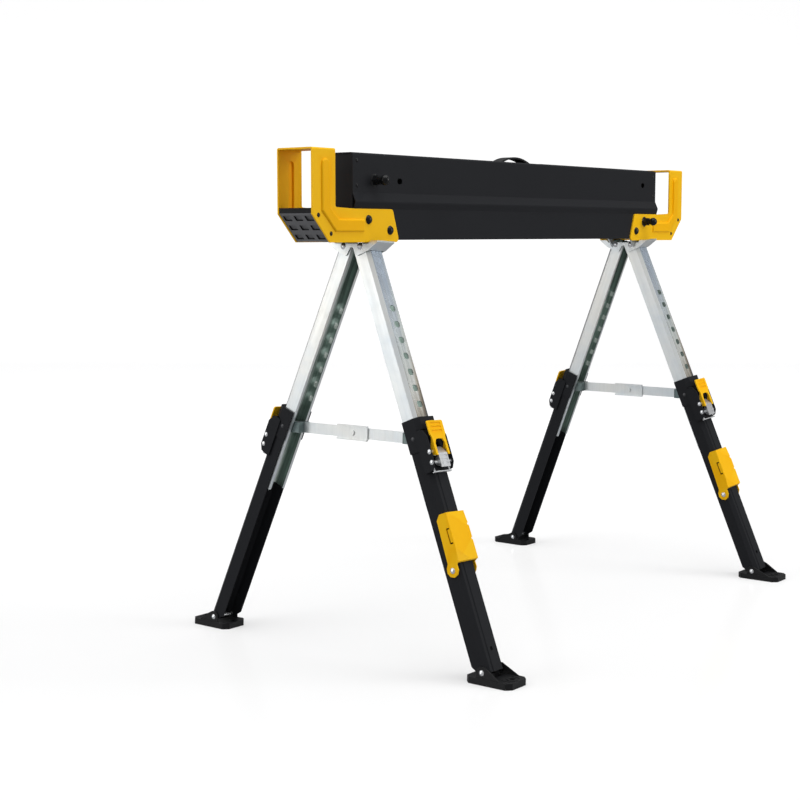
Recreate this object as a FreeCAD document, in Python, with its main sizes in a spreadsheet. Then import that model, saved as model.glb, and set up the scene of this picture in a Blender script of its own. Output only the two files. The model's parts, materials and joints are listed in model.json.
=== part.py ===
"""Folding steel sawhorse with adjustable legs.

Frame: X along the top rail, Y across it (the front is -Y), Z up.  The origin is on the floor, under the
middle of the rail.  Every size is in millimetres.

Each end carries a yoke that swings a pair of legs inward under the rail.  The legs of a pair splay about
rivets in the yoke, telescope in one-inch steps, stand on swivelling feet and are spread by a folding brace.
"""
import FreeCAD, Part
import os
import re

import Sketcher
from FreeCAD import Placement, Rotation, Vector

DIMENSIONS = [
    # top rail
    ("rail_half", 460.7, "half the length of the rail"),
    ("rail_top", 769, "height of the rail's top face"),
    ("rail_tall", 130.7, "height of the rail's section"),
    ("rail_wall", 1.6, "sheet thickness of the rail"),
    ("upper_face", 28.6, "half width over the upper panels"),
    ("panel_drop", 59.5, "top face down to the bead"),
    ("bead_face", 34.5, "half width over the bead"),
    ("bead_high", 72.5, "top face down to the upper edge of the bead"),
    ("bead_low", 74.5, "top face down to the lower edge of the bead"),
    ("lower_face", 31.7, "half width over the lower panels"),
    ("lower_drop", 83.8, "top face down to the lower panels"),
    ("rail_hem", 8, "height of the folded hem along the bottom edges"),
    ("rail_round", 3.5, "outer radius of the top edges"),
    ("peg_hole_long", 12.5, "length of the oblong holes"),
    ("peg_hole_tall", 9, "height of the oblong holes"),
    ("seat_half", 54, "half the length of the shallow seat under the carry handle"),
    ("seat_deep", 0.4, "depth of the seat under the carry handle"),
    ("peg_level", 728.3, "height of the front left hole and the upper plunger"),
    ("peg_high", 740, "height of the front right hole"),
    ("peg_left", -347, "place along X of the front hole at the left end"),
    ("peg_right", 411, "place along X of the front hole at the right end"),
    # end brackets
    ("bracket_tip", 558.4, "outer end of a bracket"),
    ("arm_inner", 507.1, "inner edge of a bracket's upright arm"),
    ("bracket_top", 772.5, "height of a bracket's strap"),
    ("slot_floor", 685.2, "height of the bottom of the lumber slot at its inner end"),
    ("slot_slope", 1.8, "how much higher the bottom of the lumber slot is at the arm"),
    ("bracket_low", 635, "bottom edge of a bracket"),
    ("bracket_heel_top", 371.6, "inner end of a bracket, at its upper corner"),
    ("bracket_heel_low", 355.2, "inner end of a bracket, at its lower corner"),
    ("bevel_out", 39.1, "how far the outer bevel runs along X"),
    ("bevel_up", 41.4, "how far the outer bevel runs up"),
    ("bracket_sheet", 2.5, "sheet thickness of a bracket"),
    ("rib_rise", 3, "how far the pressed rib stands out"),
    ("rib_left", 521.5, "inner edge of the pressed rib on the arm"),
    ("rib_right", 538.6, "outer edge of the pressed rib on the arm"),
    ("rib_bend", 748.5, "height where the rib's round top starts"),
    ("rib_foot", 651, "bottom of the pressed rib"),
    ("rib_heel", 442, "inner end of the pressed rib"),
    ("rib_shelf", 669.5, "upper edge of the rib's level run"),
    # yokes
    ("hinge_out", 409, "middle of the rail to the middle of a yoke"),
    ("hinge_level", 628, "height of the leg hinges"),
    ("hinge_side", 16.6, "middle plane to a leg hinge"),
    ("lean", 3, "how far a pair of legs leans outward, in degrees"),
    ("splay", 22.2, "how far each leg splays, in degrees"),
    ("yoke_sheet", 2, "sheet thickness of a yoke"),
    ("yoke_half", 21, "half the length of a yoke"),
    ("near_reach", 38, "left yoke's middle to its swing axis, along the rail"),
    ("near_rise", 20, "left yoke's hinges up to its swing axis"),
    ("far_reach", 100, "right yoke's middle to its swing axis, along the rail"),
    ("far_rise", 26, "right yoke's hinges up to its swing axis"),
    ("swing_pin", 4, "radius of a swing pin"),
    ("link_face", 25.2, "half width over a yoke's two swing arms"),
    # legs
    ("upper_half", 18.5, "half width of an upper leg"),
    ("upper_wall", 1.5, "sheet thickness of an upper leg"),
    ("upper_face_out", 12, "hinge line out to an upper leg's web"),
    ("upper_edge_in", 15, "hinge line in to an upper leg's lips"),
    ("upper_end", 415, "hinge down to the end of an upper leg"),
    ("upper_start", 4.5, "hinge up to the top of an upper leg"),
    ("lower_half", 21, "half width of a lower leg"),
    ("lower_wall", 1.7, "sheet thickness of a lower leg"),
    ("lower_face_out", 14.5, "hinge line out to a lower leg's web"),
    ("lower_edge_in", 12.5, "hinge line in to a lower leg's edges"),
    ("lower_start", 278, "hinge down to the top of a lower leg"),
    ("web_rib", 1.3, "how far the middle of the web stands out"),
    ("web_rib_half", 8.5, "half width of the raised middle of the web"),
    ("slot_first", 104.7, "hinge down to the first height slot"),
    ("slot_pitch", 25.4, "pitch of the height slots"),
    ("slot_count", 11, "number of height slots"),
    ("slot_wide", 12, "width of a height slot"),
    ("slot_tall", 10, "height of a height slot"),
    ("leg_pin", 2.5, "radius of the leg's small pins"),
    ("pin_play", 0.08, "radial play of a turning joint"),
    ("hinge_pin", 3, "radius of a leg hinge rivet"),
    ("brace_drop", 309, "hinge down to a brace pivot"),
    ("foot_drop", 663, "hinge down to the foot pivot"),
    ("foot_out", 4, "hinge line out to the foot pivot"),
    # latch
    ("lever_drop", 334, "hinge down to the lever's pivot"),
    ("lever_out", 22.5, "hinge line out to the lever's pivot"),
    ("pawl_drop", 350, "hinge down to the pawl's pivot"),
    ("pawl_out", 21.5, "hinge line out to the pawl's pivot"),
    ("ear_gap", 22.6, "half the width between the latch ears"),
    ("ear_sheet", 1.8, "thickness of a latch ear"),
    # support arm
    ("support_drop", 510.4, "hinge down to the support arm's pivot"),
    ("support_out", 3.9, "hinge line out to the support arm's pivot"),
    ("support_half", 23.5, "half width over a support arm"),
    ("support_sheet", 2, "sheet thickness of a support arm"),
    ("notch_high", 447.5, "hinge down to the upper notch in a support arm's edge"),
    ("notch_low", 470, "hinge down to the lower notch in a support arm's edge"),
    # foot
    ("pad_half", 25, "half width of a foot pad"),
    ("pad_in", 30, "foot pivot in to the end of the pad"),
    ("pad_out", 50, "foot pivot out to the end of the pad"),
    ("pad_thick", 9.5, "thickness of a foot pad"),
    ("pad_drop", 16.5, "foot pivot down to the floor"),
    # brace
    ("bar_tall", 17, "height of a brace bar"),
    ("bar_sheet", 2.5, "thickness of a brace bar"),
    ("bar_gap", 0.4, "middle plane to the near face of a brace bar"),
    # handle
    ("grip_wide", 20, "width of the carry handle"),
    ("grip_rise", 10, "how far the carry handle arches over the rail"),
    ("grip_half", 46, "half the span of the carry handle"),
    ("grip_thick", 3, "thickness of the carry handle"),
    # fasteners and plungers
    ("rivet_out", 450.6, "middle of the rail to the rivets of its end plates"),
    ("rivet_high", 11.8, "top face down to the upper rail rivets"),
    ("rivet_low", 49.2, "top face down to the lower rail rivets"),
    ("rivet_shank", 1.5, "shank radius of a small rivet"),
    ("bolt_shank", 3, "shank radius of a bracket bolt"),
    ("bolt_high_x", 430, "place along X of the upper bolts"),
    ("bolt_high_z", 669, "height of the upper bolts"),
    ("bolt_low_x", 378, "place along X of the lower bolts"),
    ("bolt_low_z", 653, "height of the lower bolts"),
    ("cell_wide", 13.8, "width of a recess in an end pad"),
    ("cell_tall", 0.17, "height of a recess in an end pad, as a share of the bevel"),
    ("cell_low", 0.085, "bevel's lower edge up to the first recess, as a share of the bevel"),
    ("cell_pitch", 0.325, "pitch of the rows of recesses, as a share of the bevel"),
    ("cell_deep", 2.6, "depth of a recess in an end pad"),
    ("pad_rivet_high_x", 545, "place along X of the upper pad rivets"),
    ("pad_rivet_high_z", 675, "height of the upper pad rivets"),
    ("pad_rivet_low_x", 517, "place along X of the lower pad rivets"),
    ("pad_rivet_low_z", 648, "height of the lower pad rivets"),
    ("plunger_bore", 3.2, "radius of a plunger's bore"),
    ("low_plunger_level", 670.7, "height of the plunger on the right bracket"),
    ("cup_deep", 15, "depth of a rail end plate"),
]

doc = FreeCAD.newDocument("folding_sawhorse")
sheet = doc.addObject("Spreadsheet::Sheet", "dims")
for row, (alias, value, meaning) in enumerate(DIMENSIONS, 1):
    sheet.set(f"A{row}", alias)
    sheet.set(f"B{row}", str(value))
    sheet.setAlias(f"B{row}", alias)
    sheet.set(f"C{row}", meaning)
doc.recompute()

ALIASES = {alias for alias, _, _ in DIMENSIONS}
SIDES = {"left": -1, "right": 1}
FACES = {"front": -1, "rear": 1}
PARTS = []


def size(alias):
    """A driving dimension's value, for the pieces that a sheet cell can't be bound to."""
    return float(sheet.get(alias))


def expand(text):
    """An expression with every word that is an alias pointed at the sheet."""
    words = re.split(r"(\w+)", text)
    return "".join(f"dims.{w}" if w in ALIASES else w for w in words)


def keep(piece, label, place=None):
    """Names a finished sub-part and puts it in its place."""
    piece.Label = label
    if place is not None:
        piece.Placement = place
    PARTS.append(piece)
    return piece


# ---------------------------------------------------------------- places


def end_place(side):
    """The frame of one end: at the middle of its yoke, +X outward, leaning with the legs."""
    base = Vector(side * size("hinge_out"), 0, size("hinge_level"))
    turn = Rotation(Vector(0, 1, 0), -side * size("lean"))
    if side < 0:
        turn = turn.multiply(Rotation(Vector(0, 0, 1), 180))
    return Placement(base, turn)


def corner_place(side, face):
    """The frame of one corner before the leg splays: at its hinge, +Y outward, leaning."""
    base = Vector(side * size("hinge_out"), face * size("hinge_side"), size("hinge_level"))
    turn = Rotation(Vector(0, 1, 0), -side * size("lean"))
    if face < 0:
        turn = turn.multiply(Rotation(Vector(0, 0, 1), 180))
    return Placement(base, turn)


def leg_place(side, face):
    """The frame of one leg: at its hinge, +Y outward, -Z down the leg."""
    splay = Placement(Vector(), Rotation(Vector(1, 0, 0), size("splay")))
    return corner_place(side, face).multiply(splay)


def in_leg(side, face, out, drop):
    """A frame at a point of a leg, turned back upright."""
    upright = Rotation(Vector(1, 0, 0), -size("splay"))
    return leg_place(side, face).multiply(Placement(Vector(0, out, -drop), upright))


# ---------------------------------------------------------------- sketches and features


def new_body(name):
    return doc.addObject("PartDesign::Body", name)


def new_sketch(body, plane, shift):
    """An empty sketch on one of the body's own planes, moved along the plane's normal."""
    sketch = body.newObject("Sketcher::SketchObject", "sketch")
    flat = [o for o in body.Origin.OriginFeatures if o.Role == plane + "_Plane"][0]
    sketch.AttachmentSupport = (flat, [""])
    sketch.MapMode = "FlatFace"
    if shift is not None:
        sketch.setExpression("AttachmentOffset.Base.z", expand(shift))
    return sketch


def bind(sketch, constraint, name, text):
    """Adds a constraint driven by an expression."""
    index = sketch.addConstraint(constraint)
    sketch.renameConstraint(index, name)
    sketch.setExpression("Constraints." + name, text)


def outline(body, plane, corners, shift=None):
    """A closed sketch of straight lines. Each corner is a pair of expressions."""
    sketch = new_sketch(body, plane, shift)
    pairs = [(expand(a), expand(b)) for a, b in corners]
    spots = [Vector(float(sketch.evalExpression(a)), float(sketch.evalExpression(b)), 0) for a, b in pairs]
    count = len(spots)
    for i in range(count):
        sketch.addGeometry(Part.LineSegment(spots[i], spots[(i + 1) % count]))
    for i in range(count):
        sketch.addConstraint(Sketcher.Constraint("Coincident", i, 2, (i + 1) % count, 1))
    for i, (across, up) in enumerate(pairs):
        bind(sketch, Sketcher.Constraint("DistanceX", -1, 1, i, 1, spots[i].x), f"across{i}", across)
        bind(sketch, Sketcher.Constraint("DistanceY", -1, 1, i, 1, spots[i].y), f"up{i}", up)
    return sketch


def circles(body, plane, spots, radius, shift=None):
    """A sketch of circles that share a radius. Each middle is a pair of expressions."""
    sketch = new_sketch(body, plane, shift)
    reach = float(sketch.evalExpression(expand(radius)))
    for i, pair in enumerate(spots):
        across, up = [expand(t) for t in pair]
        x, y = [float(sketch.evalExpression(t)) for t in (across, up)]
        sketch.addGeometry(Part.Circle(Vector(x, y, 0), Vector(0, 0, 1), reach))
        bind(sketch, Sketcher.Constraint("DistanceX", -1, 1, i, 3, x), f"across{i}", across)
        bind(sketch, Sketcher.Constraint("DistanceY", -1, 1, i, 3, y), f"up{i}", up)
        bind(sketch, Sketcher.Constraint("Radius", i, reach), f"radius{i}", expand(radius))
    return sketch


def pad(body, sketch, length, both=True, back=False):
    """A block as long as an expression says, about its sketch unless both is False."""
    feature = body.newObject("PartDesign::Pad", "pad")
    feature.Profile = sketch
    feature.SideType = "Symmetric" if both else "One side"
    feature.Reversed = back
    feature.setExpression("Length", expand(length))
    doc.recompute()
    return feature


def pocket(body, sketch, length, both=True, back=False):
    """A cut, about its sketch unless both is False; it must take something away."""
    before = body.Shape.Volume
    feature = body.newObject("PartDesign::Pocket", "pocket")
    feature.Profile = sketch
    feature.SideType = "Symmetric" if both else "One side"
    feature.Reversed = back
    feature.setExpression("Length", expand(length))
    doc.recompute()
    if body.Shape.Volume >= before - 0.01:
        raise ValueError(f"a pocket of {body.Name} cuts nothing")
    return feature


def edges_along(body, axis, spots, reach=0.6):
    """Names of the straight edges that run along an axis through the given places across it."""
    rest = [i for i in range(3) if i != axis]
    found = []
    for number, edge in enumerate(body.Shape.Edges, 1):
        if len(edge.Vertexes) != 2:
            continue
        start, end = [v.Point for v in edge.Vertexes]
        run = end - start
        if run.Length < 0.5 or abs(run[axis]) < 0.999 * run.Length:
            continue
        if any(all(abs(start[i] - s) < reach for i, s in zip(rest, spot)) for spot in spots):
            found.append(f"Edge{number}")
    return found


def soften(body, axis, spots, radius, chamfer=False):
    """Rounds or bevels the edges that run along an axis through the given places."""
    names = edges_along(body, axis, spots)
    if not names:
        raise ValueError(f"no edge of {body.Name} to soften")
    base = body.Tip
    feature = body.newObject("PartDesign::Chamfer" if chamfer else "PartDesign::Fillet", "edge")
    feature.Base = (base, names)
    setattr(feature, "Size" if chamfer else "Radius", radius)
    doc.recompute()
    return feature


def mirrored(corners):
    """The same corners across the sketch's vertical axis, in the order that carries an outline on."""
    return [(f"-({a})", b) for a, b in reversed(corners)]


def box(left, right, low, high):
    """The corners of an upright rectangle."""
    return [(left, low), (right, low), (right, high), (left, high)]


# ---------------------------------------------------------------- fasteners


def pin_shape(place, radius, low, high):
    """A plain round pin along the X axis of a frame."""
    pin = Part.makeCylinder(radius, high - low, Vector(low, 0, 0), Vector(1, 0, 0))
    pin.Placement = place.multiply(pin.Placement)
    return pin


def dome_shape(place, head_radius, head_rise, shank_radius, shank_long):
    """A round-headed rivet: its head stands out along +X of a frame, its shank goes in along -X."""
    ball = (head_radius**2 + head_rise**2) / (2 * head_rise)
    half = head_radius / 2
    half_rise = head_rise - ball + (ball**2 - half**2) ** 0.5
    arc = Part.Arc(Vector(head_rise, 0, 0), Vector(half_rise, half, 0), Vector(0, head_radius, 0))
    corners = [
        Vector(0, head_radius, 0),
        Vector(0, shank_radius, 0),
        Vector(-shank_long, shank_radius, 0),
        Vector(-shank_long, 0, 0),
        Vector(head_rise, 0, 0),
    ]
    lines = [Part.makeLine(a, b) for a, b in zip(corners, corners[1:])]
    rivet = Part.Face(Part.Wire([arc.toShape(), *lines])).revolve(Vector(), Vector(1, 0, 0), 360)
    rivet.Placement = place
    return rivet


def facing(x, y, z, face):
    """A frame on the front or rear of the rail whose +X points away from the rail."""
    return Placement(Vector(x, y, z), Rotation(Vector(0, 0, 1), 90 * face))


def along(place, distance, turned=False):
    """A frame moved along its own X axis, and turned to look back when asked."""
    turn = Rotation(Vector(0, 0, 1), 180 if turned else 0)
    return place.multiply(Placement(Vector(distance, 0, 0), turn))


def single(label, shape, place=None):
    """One solid made without features."""
    feature = doc.addObject("Part::Feature", label)
    feature.Shape = shape
    return keep(feature, label, place)


def group(label, shapes):
    """Separate solids that are the same kind of fastener, kept as one sub-part."""
    return single(label, Part.makeCompound(shapes))


# ---------------------------------------------------------------- top rail


def top_rail():
    """A long inverted channel with a bead along each side and hemmed bottom edges."""
    body = new_body("top_rail")
    outer = [
        ("lower_face", "rail_top - rail_tall"),
        ("lower_face", "rail_top - lower_drop"),
        ("bead_face", "rail_top - bead_low"),
        ("bead_face", "rail_top - bead_high"),
        ("upper_face", "rail_top - panel_drop"),
        ("upper_face", "rail_top"),
    ]
    inner = [
        ("upper_face - rail_wall", "rail_top - rail_wall"),
        ("upper_face - rail_wall", "rail_top - panel_drop"),
        ("bead_face - rail_wall", "rail_top - bead_high"),
        ("bead_face - rail_wall", "rail_top - bead_low"),
        ("lower_face - rail_wall", "rail_top - lower_drop"),
        ("lower_face - rail_wall", "rail_top - rail_tall + rail_hem"),
        ("lower_face - 2 * rail_wall", "rail_top - rail_tall + rail_hem - 1"),
        ("lower_face - 2 * rail_wall", "rail_top - rail_tall"),
    ]
    section = outer + mirrored(outer) + mirrored(inner) + inner
    pad(body, outline(body, "YZ", section), "2 * rail_half")
    top, side, wall = size("rail_top"), size("upper_face"), size("rail_wall")
    soften(body, 0, [(side, top), (-side, top)], size("rail_round"))
    soften(body, 0, [(side - wall, top - wall), (wall - side, top - wall)], size("rail_round") - wall)
    for place, level in (("peg_left", "peg_level"), ("peg_right", "peg_high")):
        peg_hole(body, place, level, True)
        peg_hole(body, f"-{place}", level, False)
    drops = ("rivet_high", "rivet_low")
    rivets = [(f"{sign}rivet_out", f"rail_top - {drop}") for sign in ("", "-") for drop in drops]
    pocket(body, circles(body, "XZ", rivets, "rivet_shank"), "4 * upper_face")
    bore = circles(body, "XZ", [("-hinge_out", "peg_level")], "plunger_bore")
    pocket(body, bore, "2 * upper_face", both=False, back=True)
    seat = box("-seat_half", "seat_half", "-lower_face", "lower_face")
    pocket(body, outline(body, "XY", seat, shift="rail_top"), "2 * seat_deep")
    slots = box("grip_half - 9", "grip_half + 3.4", "-grip_wide / 2", "grip_wide / 2")
    for corners in (slots, mirrored(slots)):
        pocket(body, outline(body, "XY", corners, shift="rail_top"), "6")
    return keep(body, "top_rail")


def peg_hole(body, across, level, front):
    """An oblong hole with round ends through one side of the rail."""
    wide, high = "peg_hole_long / 2", "peg_hole_tall / 2"
    corners = box(f"{across} - {wide}", f"{across} + {wide}", f"{level} - {high}", f"{level} + {high}")
    sketch = outline(body, "XZ", corners)
    pocket(body, sketch, "2 * upper_face", both=False, back=front)
    ends = [(sketch.Geometry[i].StartPoint.x, sketch.Geometry[i].StartPoint.y) for i in range(4)]
    soften(body, 1, ends, size("peg_hole_tall") / 2 - 0.1)


def rail_end_plate(name, side):
    """A shallow pressed cup, its upper part stepped back, that closes one end of the rail."""
    body = new_body("rail_end_plate")
    face = "upper_face - rail_wall"
    outer = [
        (face, "rail_top - rail_tall + 1"),
        (face, "rail_top - rail_wall - 3"),
        (f"{face} - 3", "rail_top - rail_wall - 0.3"),
    ]
    inner = [
        (f"{face} - 1.6", "rail_top - rail_tall - 1"),
        (f"{face} - 1.6", "rail_top - rail_wall - 3.4"),
        (f"{face} - 3.4", "rail_top - rail_wall - 1.9"),
    ]
    pad(body, outline(body, "YZ", outer + mirrored(outer)), "cup_deep", both=False, back=True)
    hollow = outline(body, "YZ", inner + mirrored(inner), shift="-2.6")
    pocket(body, hollow, "cup_deep", both=False)
    step = box("-upper_face", "upper_face", "rail_top - 32", "rail_top")
    pocket(body, outline(body, "YZ", step), "2")
    turn = Rotation(Vector(0, 0, 1), 0 if side > 0 else 180)
    return keep(body, name, Placement(Vector(side * (size("rail_half") - 1), 0, 0), turn))


def carry_handle():
    """A low strap arched along the rail; its ends sit in the slots of the rail's top."""
    radius = "(grip_half * grip_half + grip_rise * grip_rise) / (2 * grip_rise)"
    rounds = []
    for name, reach in (("grip_over", radius), ("grip_under", f"{radius} - grip_thick")):
        drum = doc.addObject("Part::Cylinder", name)
        drum.setExpression("Radius", expand(reach))
        drum.setExpression("Height", expand("grip_wide"))
        drum.setExpression("Placement.Base.y", expand("grip_wide / 2"))
        drum.setExpression("Placement.Base.z", expand(f"rail_top + grip_rise - {radius}"))
        drum.Placement.Rotation = Rotation(Vector(1, 0, 0), 90)
        rounds.append(drum)
    ring = doc.addObject("Part::Cut", "grip_ring")
    ring.Base, ring.Tool = rounds
    block = doc.addObject("Part::Box", "grip_block")
    block.setExpression("Length", expand("4 * grip_half"))
    block.setExpression("Width", expand("2 * grip_wide"))
    block.setExpression("Height", expand("4 * grip_rise"))
    block.setExpression("Placement.Base.x", expand("-2 * grip_half"))
    block.setExpression("Placement.Base.y", expand("-grip_wide"))
    block.setExpression("Placement.Base.z", expand("rail_top - rail_wall"))
    strap = doc.addObject("Part::MultiCommon", "carry_handle")
    strap.Shapes = [ring, block]
    return keep(strap, "carry_handle")


# ---------------------------------------------------------------- end brackets


def rib_outline(grow):
    """The L-shaped pressed rib, grown outward all round by a distance."""
    left, right = f"rib_left - ({grow})", f"rib_right + ({grow})"
    middle, arch = "(rib_left + rib_right) / 2", f"((rib_right - rib_left) / 2 + ({grow}))"
    crown = [(f"{middle} + {arch} * cos({a})", f"rib_bend + {arch} * sin({a})") for a in range(180, -1, -30)]
    return [
        (left, f"rib_shelf + 17.5 + 0.4 * ({grow})"),
        *crown,
        (right, f"rib_foot + 30.7 - 0.4 * ({grow})"),
        (f"rib_right - 31.1 + 0.4 * ({grow})", f"rib_foot - ({grow})"),
        (f"rib_heel - ({grow})", f"rib_foot - ({grow})"),
        (f"rib_heel - ({grow})", f"rib_shelf + ({grow})"),
        (f"rib_left - 20.1 - 0.4 * ({grow})", f"rib_shelf + ({grow})"),
    ]


def end_bracket(name, side):
    """A yellow inverted U of sheet: two L-shaped plates joined by a strap over the arm."""
    body = new_body("end_bracket")
    profile = [
        ("arm_inner", "bracket_top"),
        ("bracket_tip", "bracket_top"),
        ("bracket_tip", "bracket_low + bevel_up"),
        ("bracket_tip - bevel_out", "bracket_low"),
        ("bracket_heel_low", "bracket_low"),
        ("bracket_heel_top", "slot_floor"),
        ("rail_half + 2", "slot_floor"),
        ("arm_inner", "slot_floor + slot_slope"),
    ]
    face = "lower_face + bracket_sheet"
    pad(body, outline(body, "XZ", profile), f"2 * ({face})")
    under = "bracket_top - bracket_sheet"
    inside = box("bracket_heel_low - 9", "bracket_tip + 9", "bracket_low - 9", under)
    pocket(body, outline(body, "XZ", inside), "2 * lower_face")
    low, top, floor = size("bracket_low"), size("bracket_top"), size("slot_floor")
    soften(body, 1, [(size("bracket_heel_low"), low), (size("bracket_heel_top"), floor)], 6)
    soften(body, 1, [(size("arm_inner"), floor + size("slot_slope"))], 3)
    out = size("lower_face") + size("bracket_sheet")
    soften(body, 0, [(out, top), (-out, top)], 3)
    for back in (False, True):
        raised = outline(body, "XZ", rib_outline(0), shift=f"-({face})" if back else face)
        pad(body, raised, "rib_rise", both=False, back=back)
        hollow = outline(body, "XZ", rib_outline(-2.6), shift="-lower_face" if back else "lower_face")
        pocket(body, hollow, "rib_rise", both=False, back=not back)
    rib_edges(body, out + size("rib_rise"))
    small = [("pad_rivet_high_x", "pad_rivet_high_z"), ("pad_rivet_low_x", "pad_rivet_low_z")]
    pocket(body, circles(body, "XZ", small, "rivet_shank"), "4 * lower_face")
    pocket(body, circles(body, "XZ", [("bolt_low_x", "bolt_low_z")], "bolt_shank"), "4 * lower_face")
    upper = circles(body, "XZ", [("bolt_high_x", "bolt_high_z")], "bolt_shank")
    if side < 0:
        pocket(body, upper, "4 * lower_face")
    else:
        pocket(body, upper, "2 * lower_face", both=False)
        bore = circles(body, "XZ", [("hinge_out", "low_plunger_level")], "plunger_bore")
        pocket(body, bore, "2 * lower_face", both=False, back=True)
    return keep(body, name, Placement(Vector(), Rotation(Vector(0, 0, 1), 0 if side > 0 else 180)))


def rib_edges(body, level):
    """Rounds the rim of each pressed rib."""
    names = []
    for number, edge in enumerate(body.Shape.Edges, 1):
        points = [v.Point for v in edge.Vertexes]
        if len(points) == 2 and all(abs(abs(p.y) - level) < 0.01 for p in points):
            names.append(f"Edge{number}")
    base = body.Tip
    feature = body.newObject("PartDesign::Fillet", "edge")
    feature.Base = (base, names)
    feature.setExpression("Radius", "dims.rib_rise * 0.85")
    doc.recompute()


def end_pad(name, side):
    """The moulded pad between the plates: an upright lip, then a bevelled face with nine recesses."""
    body = new_body("end_pad")

    def on_bevel(share, depth):
        across = f"bracket_tip - 1 - bevel_out * (1 - {share}) - {depth} * 0.727"
        return across, f"bracket_low + 1 + bevel_up * {share} + {depth} * 0.687"

    corners = [
        ("bracket_tip - 1", "slot_floor"),
        on_bevel(1, 0),
        on_bevel(0, 0),
        ("bracket_tip - bevel_out - 15", "bracket_low + 1"),
        ("bracket_tip - bevel_out - 15", "bracket_low + 8"),
        ("bracket_tip - bevel_out - 4", "bracket_low + 8"),
        ("bracket_tip - 13", "bracket_low + bevel_up + 1"),
        ("bracket_tip - 13", "slot_floor"),
    ]
    pad(body, outline(body, "XZ", corners), "2 * lower_face")
    for row in range(3):
        low = f"(cell_low + {row} * cell_pitch)"
        high = f"({low} + cell_tall)"
        cell = [on_bevel(low, -1), on_bevel(high, -1)]
        cell += [on_bevel(high, "cell_deep"), on_bevel(low, "cell_deep")]
        for column in (-1, 0, 1):
            middle = f"{column} * 2 * lower_face / 3"
            pocket(body, outline(body, "XZ", cell, shift=middle), "cell_wide")
    return keep(body, name, Placement(Vector(), Rotation(Vector(0, 0, 1), 0 if side > 0 else 180)))


def rail_fasteners():
    """Small black rivets in the rail and the brackets, and large domed bolts through the brackets."""
    outside = size("lower_face") + size("bracket_sheet")
    pads = [(size(f"pad_rivet_{n}_x"), size(f"pad_rivet_{n}_z")) for n in ("high", "low")]
    rivets, bolts = [], []
    for side in SIDES.values():
        for face in FACES.values():
            for drop in (size("rivet_high"), size("rivet_low")):
                level = size("rail_top") - drop
                place = facing(side * size("rivet_out"), face * size("upper_face"), level, face)
                rivets.append(dome_shape(place, 3.2, 1.4, size("rivet_shank"), 1.5))
            for x, z in pads:
                place = facing(side * x, face * outside, z, face)
                rivets.append(dome_shape(place, 3.4, 1.5, size("rivet_shank"), 2.4))
            for n in ("high", "low"):
                if n == "high" and side > 0 and face < 0:
                    continue
                place = facing(side * size(f"bolt_{n}_x"), face * outside, size(f"bolt_{n}_z"), face)
                bolts.append(dome_shape(place, 7.2, 4.8, size("bolt_shank"), 2.4))
    group("black_rivets", rivets)
    group("bracket_bolts", bolts)


def plungers():
    """The spring plungers that lock the yokes: a six-sided collar and a round pull knob at each end."""
    collars = []
    for label, side, level, wall, grow in (
        ("left", -1, "peg_level", "upper_face", 1.05),
        ("right", 1, "low_plunger_level", "lower_face", 1.0),
    ):
        front = size(wall) + (0 if side < 0 else size("bracket_sheet"))
        place = facing(side * size("hinge_out"), -front, size(level), -1)
        skirt = dome_shape(Placement(), 9.5 * grow, 3.4, 3, 1)
        corners = [Rotation(Vector(1, 0, 0), 60 * i).multVec(Vector(1, 8 * grow, 0)) for i in range(7)]
        nut = Part.Face(Part.makePolygon(corners)).extrude(Vector(8.2 * grow, 0, 0))
        bore = Part.makeCylinder(size("plunger_bore"), 40, Vector(-20, 0, 0), Vector(1, 0, 0))
        collar = skirt.fuse(nut).cut(bore).removeSplitter().Solids[0]
        collar.Placement = place
        collars.append(collar)
        ball = Part.makeSphere(7.5 * grow, Vector(19.3 * grow, 0, 0))
        ball = ball.common(Part.makeBox(30, 20, 20, Vector(13.4 * grow, -10, -10)))
        neck = pin_shape(Placement(), 5.4 * grow, 8.2 * grow + 1.4, 14 * grow)
        rod = pin_shape(Placement(), size("plunger_bore") - size("pin_play"), -1.4, 17 * grow)
        single(f"plunger_knob_{label}", ball.fuse([neck, rod]).removeSplitter().Solids[0], place)
    group("plunger_collars", collars)


# ---------------------------------------------------------------- yokes


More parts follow.
